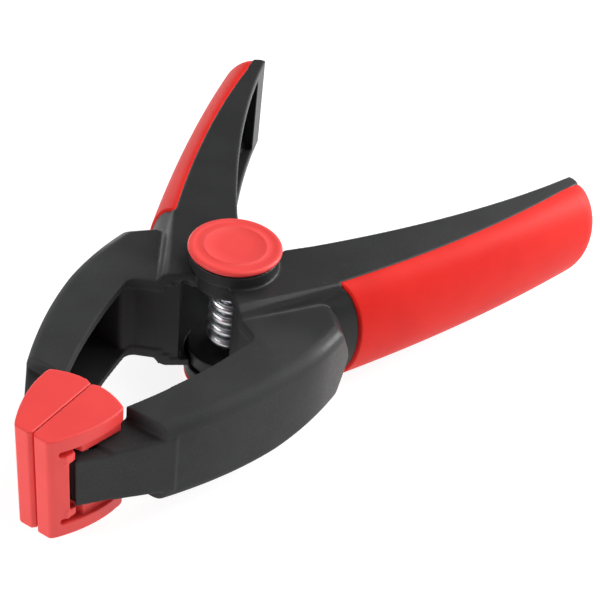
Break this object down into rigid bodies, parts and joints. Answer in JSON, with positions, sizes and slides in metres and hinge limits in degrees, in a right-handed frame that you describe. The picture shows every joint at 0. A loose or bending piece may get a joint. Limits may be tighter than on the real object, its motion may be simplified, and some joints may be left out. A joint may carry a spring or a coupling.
{
  "type": "spring clamp",
  "caption": "One-hand spring clamp with curved box-section levers, soft grips, swivelling jaw pads and a hidden torsion spring on a capped pivot.",
  "frame": {"origin": "on the pivot axis, at the outer face of the lower cap", "axes": "+X from the pivot towards the jaw tips, +Y towards the right lever, +Z along the pivot axis towards the top cap"},
  "size_m": [0.1792, 0.1336, 0.043],
  "materials": {
    "black_nylon": "satin",
    "soft_grip": "satin",
    "red_nylon": "satin",
    "steel": "bright"
  },
  "bodies": {
    "right_lever": {"lever_right": "black_nylon", "grip_right": "soft_grip", "cap_top": "red_nylon", "pivot_pin": "steel", "pin_retainer": "steel", "torsion_spring": "steel"},
    "left_lever": {"lever_left": "black_nylon", "grip_left": "soft_grip", "cap_bottom": "red_nylon"},
    "right_pad": {"jaw_pad_right": "red_nylon"},
    "left_pad": {"jaw_pad_left": "red_nylon"}
  },
  "joints": [
    {"name": "clamp_hinge", "type": "hinge", "parent": "right_lever", "child": "left_lever", "pos_m": [0, 0, 0.0215], "axis": [0, 0, -1], "range_deg": [0, 48], "stiffness_Nm_per_rad": 2.5, "springref_deg": -68.75, "deforming": ["torsion_spring"]},
    {"name": "right_pad_swivel", "type": "hinge", "parent": "right_lever", "child": "right_pad", "pos_m": [0.0703, 0.0052, 0.0215], "axis": [0, 0, -1], "range_deg": [0, 24]},
    {"name": "left_pad_swivel", "type": "hinge", "parent": "left_lever", "child": "left_pad", "pos_m": [0.0703, -0.0052, 0.0215], "axis": [0, 0, 1], "range_deg": [0, 24]}
  ],
  "couplings": [
    {"joint": "right_pad_swivel", "follows": "clamp_hinge", "ratio": 0.5},
    {"joint": "left_pad_swivel", "follows": "clamp_hinge", "ratio": 0.5}
  ]
}
